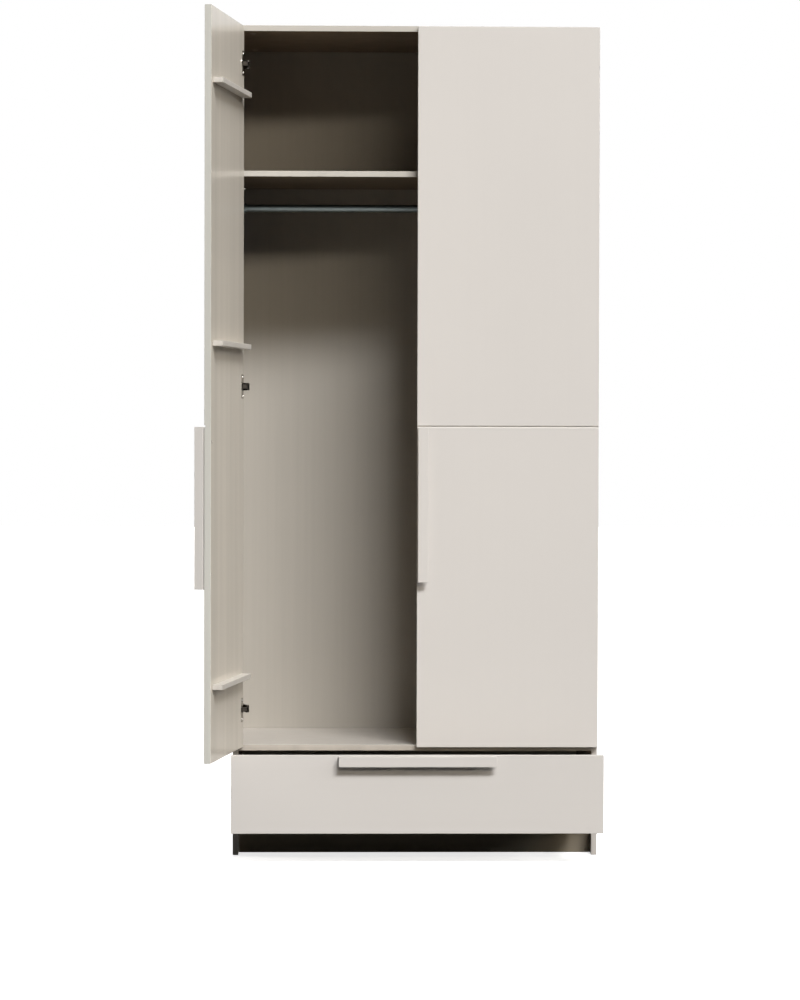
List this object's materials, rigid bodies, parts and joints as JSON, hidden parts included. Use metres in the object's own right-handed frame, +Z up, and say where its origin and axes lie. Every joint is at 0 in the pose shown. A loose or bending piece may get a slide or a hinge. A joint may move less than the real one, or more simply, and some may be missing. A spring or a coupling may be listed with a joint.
{
  "type": "wardrobe",
  "caption": "Tall wardrobe with hinged doors on cup hinges, bar handles, hanging rail, upper shelf and a wide drawer below; shown with one door and the drawer open.",
  "frame": {"origin": "on the floor under the middle of the plinth board", "axes": "+Z up, +Y to the back, +X to the right of a person facing the doors; the rest pose has the left door open and the drawer part way out"},
  "size_m": [1.0307, 0.9854, 2.145],
  "materials": {
    "lacquer": "smooth matt lacquer on board, warm light grey",
    "board": "matt melamine board, warm light grey",
    "hardboard": "painted hardboard sheet",
    "nickel_steel": "nickel plated",
    "zinc_steel": "zinc plated",
    "chrome_tube": "satin chrome"
  },
  "bodies": {
    "carcass": {"left_side": "lacquer", "right_side": "lacquer", "top_panel": "lacquer", "bottom_panel": "board", "shelf": "board", "plinth_board": "board", "rear_rail": "board", "back_panel": "hardboard", "hanging_rail": "chrome_tube", "rail_socket_left": "chrome_tube", "rail_socket_right": "chrome_tube", "shelf_pin_left_front": "nickel_steel", "shelf_pin_left_rear": "nickel_steel", "shelf_pin_right_front": "nickel_steel", "shelf_pin_right_rear": "nickel_steel", "runner_outer_left": "zinc_steel", "runner_outer_right": "zinc_steel", "left_hinge_arm_upper": "nickel_steel", "left_hinge_arm_middle": "nickel_steel", "left_hinge_arm_lower": "nickel_steel", "right_hinge_arm_upper": "nickel_steel", "right_hinge_arm_middle": "nickel_steel", "right_hinge_arm_lower": "nickel_steel"},
    "left_hinge_links": {"left_hinge_link_upper": "nickel_steel", "left_hinge_link_middle": "nickel_steel", "left_hinge_link_lower": "nickel_steel"},
    "left_door": {"left_door": "lacquer", "left_door_handle": "lacquer", "left_door_batten_upper": "lacquer", "left_door_batten_middle": "lacquer", "left_door_batten_lower": "lacquer", "left_hinge_cup_upper": "nickel_steel", "left_hinge_cup_middle": "nickel_steel", "left_hinge_cup_lower": "nickel_steel"},
    "right_hinge_links": {"right_hinge_link_upper": "nickel_steel", "right_hinge_link_middle": "nickel_steel", "right_hinge_link_lower": "nickel_steel"},
    "right_door": {"right_door": "lacquer", "right_door_handle": "lacquer", "right_door_batten_upper": "lacquer", "right_door_batten_middle": "lacquer", "right_door_batten_lower": "lacquer", "right_hinge_cup_upper": "nickel_steel", "right_hinge_cup_middle": "nickel_steel", "right_hinge_cup_lower": "nickel_steel"},
    "drawer": {"drawer_front": "lacquer", "drawer_handle": "lacquer", "drawer_side_left": "board", "drawer_side_right": "board", "drawer_back": "board", "drawer_bottom": "hardboard", "runner_inner_left": "zinc_steel", "runner_inner_right": "zinc_steel"}
  },
  "joints": [
    {"name": "left_link_pivot", "type": "hinge", "parent": "carcass", "child": "left_hinge_links", "pos_m": [-0.4355, -0.0595, 0], "axis": [0, 0, -1], "range_deg": [-2.56, 40.53]},
    {"name": "left_door_pivot", "type": "hinge", "parent": "left_hinge_links", "child": "left_door", "pos_m": [-0.44812, -0.08475, 0], "axis": [0, 0, -1], "range_deg": [-139.31, 8.74]},
    {"name": "right_link_pivot", "type": "hinge", "parent": "carcass", "child": "right_hinge_links", "pos_m": [0.4355, -0.0595, 0], "axis": [0, 0, 1], "range_deg": [-43.07, 0]},
    {"name": "right_door_pivot", "type": "hinge", "parent": "right_hinge_links", "child": "right_door", "pos_m": [0.4615, -0.0705, 0], "axis": [0, 0, 1], "range_deg": [0, 148.05]},
    {"name": "drawer_slide", "type": "slide", "parent": "carcass", "child": "drawer", "axis": [0, -1, 0], "range_m": [-0.194, 0.14]}
  ],
  "couplings": [
    {"joint": "left_link_pivot", "follows": "left_door_pivot", "ratio": -0.29078},
    {"joint": "right_link_pivot", "follows": "right_door_pivot", "ratio": -0.29078}
  ]
}
